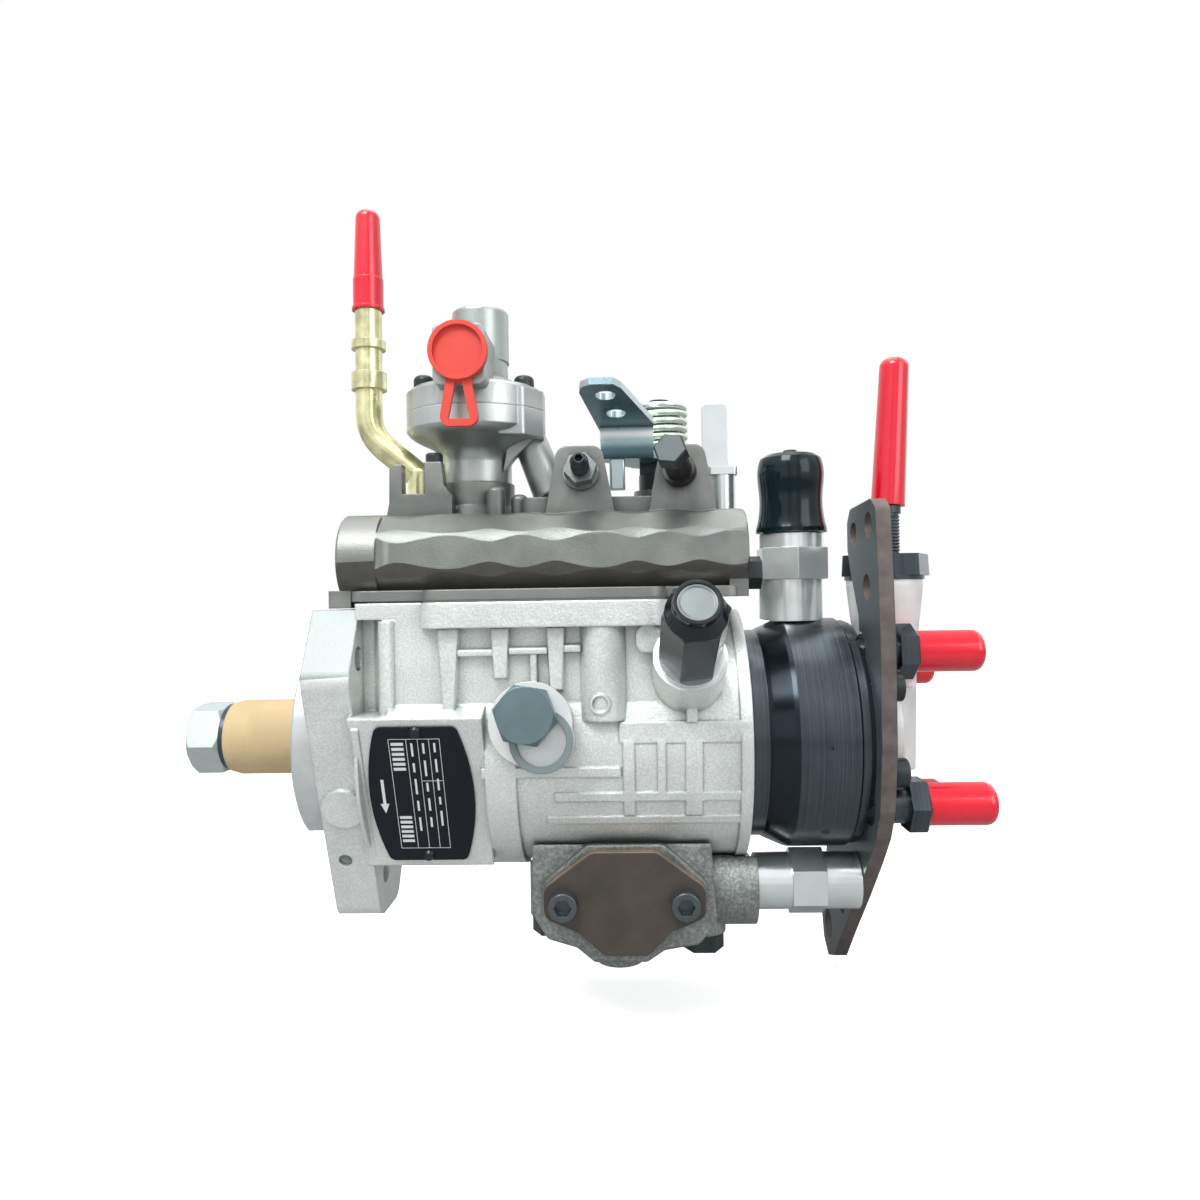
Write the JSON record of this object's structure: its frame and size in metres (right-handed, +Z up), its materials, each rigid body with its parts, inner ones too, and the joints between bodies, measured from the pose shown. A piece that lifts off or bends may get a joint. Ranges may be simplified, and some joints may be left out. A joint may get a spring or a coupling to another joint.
{
  "type": "diesel injection pump",
  "caption": "Rotary distributor fuel injection pump with flange drive, governor cover, boost control, throttle lever and capped outlets.",
  "frame": {"origin": "centre of the mounting bolt circle on the front face of the flange", "axes": "+X along the drive shaft from the flange to the outlets, +Y away from the rating plate side, +Z up"},
  "size_m": [0.289, 0.1446, 0.2979],
  "materials": {
    "cast_aluminium": "fine as-cast",
    "bright_aluminium": "satin",
    "cover_casting": "shot-blasted",
    "boost_casting": "satin",
    "bronze": "satin",
    "black_rubber": "matte",
    "ground_steel": "ground",
    "black_steel": "black oxide",
    "zinc_steel": "zinc plated",
    "yellow_zinc": "yellow zinc",
    "kraft_paper": "matte",
    "red_vinyl": "glossy vinyl",
    "red_plastic": "matte",
    "plate_steel": "phosphated",
    "brown_steel": "phosphated",
    "cast_iron": "coarse cast",
    "black_plastic": "glossy",
    "plate_black": "satin",
    "gasket": "matte"
  },
  "bodies": {
    "pump_body": {"main_housing": "cast_aluminium", "front_bush": "bronze", "shaft_oil_seal": "black_rubber", "hydraulic_head": "black_steel", "end_plate": "bright_aluminium", "end_plate_screws": "black_steel", "outlet_holders": "black_steel", "outlet_caps": "red_vinyl", "bracket_plate": "plate_steel", "bracket_bolts": "black_steel", "stop_solenoid": "black_steel", "solenoid_cap": "red_vinyl", "inlet_union": "zinc_steel", "inlet_cap": "black_plastic", "advance_housing": "cast_iron", "advance_cover": "brown_steel", "advance_cover_screws": "black_steel", "advance_spring": "ground_steel", "advance_fitting": "zinc_steel", "governor_cover": "cover_casting", "cover_gasket": "gasket", "rail_end_bolt": "black_steel", "ear_bolt": "black_steel", "idle_screw": "black_steel", "idle_locknut": "zinc_steel", "max_speed_screw": "black_steel", "max_speed_seal": "black_rubber", "boost_body": "boost_casting", "boost_cover": "boost_casting", "boost_screws": "black_steel", "boost_port_cap": "red_plastic", "return_pipe": "yellow_zinc", "return_cap": "red_vinyl", "spring_post": "zinc_steel", "lock_screw": "black_steel", "lock_spacer": "black_steel", "advance_bolts": "black_steel", "adaptor_washer": "zinc_steel", "test_adaptor": "black_steel", "test_plug": "zinc_steel", "rating_plate": "plate_black", "plate_rivets": "zinc_steel"},
    "drive": {"drive_shaft": "ground_steel", "shaft_washer": "black_steel", "shaft_nut": "zinc_steel", "shaft_sleeve": "kraft_paper", "governor_cage": "ground_steel", "governor_weights": "ground_steel", "pump_rotor": "ground_steel", "plungers": "ground_steel", "roller_shoes": "ground_steel", "transfer_rotor": "ground_steel"},
    "governor_sleeve": {"thrust_sleeve": "ground_steel"},
    "throttle": {"throttle_shaft": "black_steel", "throttle_lever": "zinc_steel", "lever_nut": "zinc_steel", "throttle_spring": "zinc_steel"},
    "boost_rod": {"boost_diaphragm": "ground_steel"},
    "advance": {"advance_piston": "ground_steel"},
    "cam": {"cam_ring": "ground_steel"}
  },
  "joints": [
    {"name": "drive_turn", "type": "hinge", "parent": "pump_body", "child": "drive", "pos_m": [0, 0, 0], "axis": [1, 0, 0], "continuous": true},
    {"name": "governor_slide", "type": "slide", "parent": "drive", "child": "governor_sleeve", "axis": [1, 0, 0], "range_m": [0, 0.006]},
    {"name": "throttle_turn", "type": "hinge", "parent": "pump_body", "child": "throttle", "pos_m": [0.121, 0.022, 0.1], "axis": [0, 0, 1], "range_deg": [-12, 30]},
    {"name": "boost_slide", "type": "slide", "parent": "pump_body", "child": "boost_rod", "axis": [0, 0, 1], "range_m": [-0.0022, 0]},
    {"name": "advance_slide", "type": "slide", "parent": "pump_body", "child": "advance", "axis": [0, 1, 0], "range_m": [-0.004, 0.004]},
    {"name": "cam_turn", "type": "hinge", "parent": "pump_body", "child": "cam", "pos_m": [0.1045, 0, 0], "axis": [1, 0, 0], "range_deg": [-4.01, 4.01]}
  ],
  "couplings": [
    {"joint": "cam_turn", "follows": "advance_slide", "rad_per_m": 17.483}
  ]
}
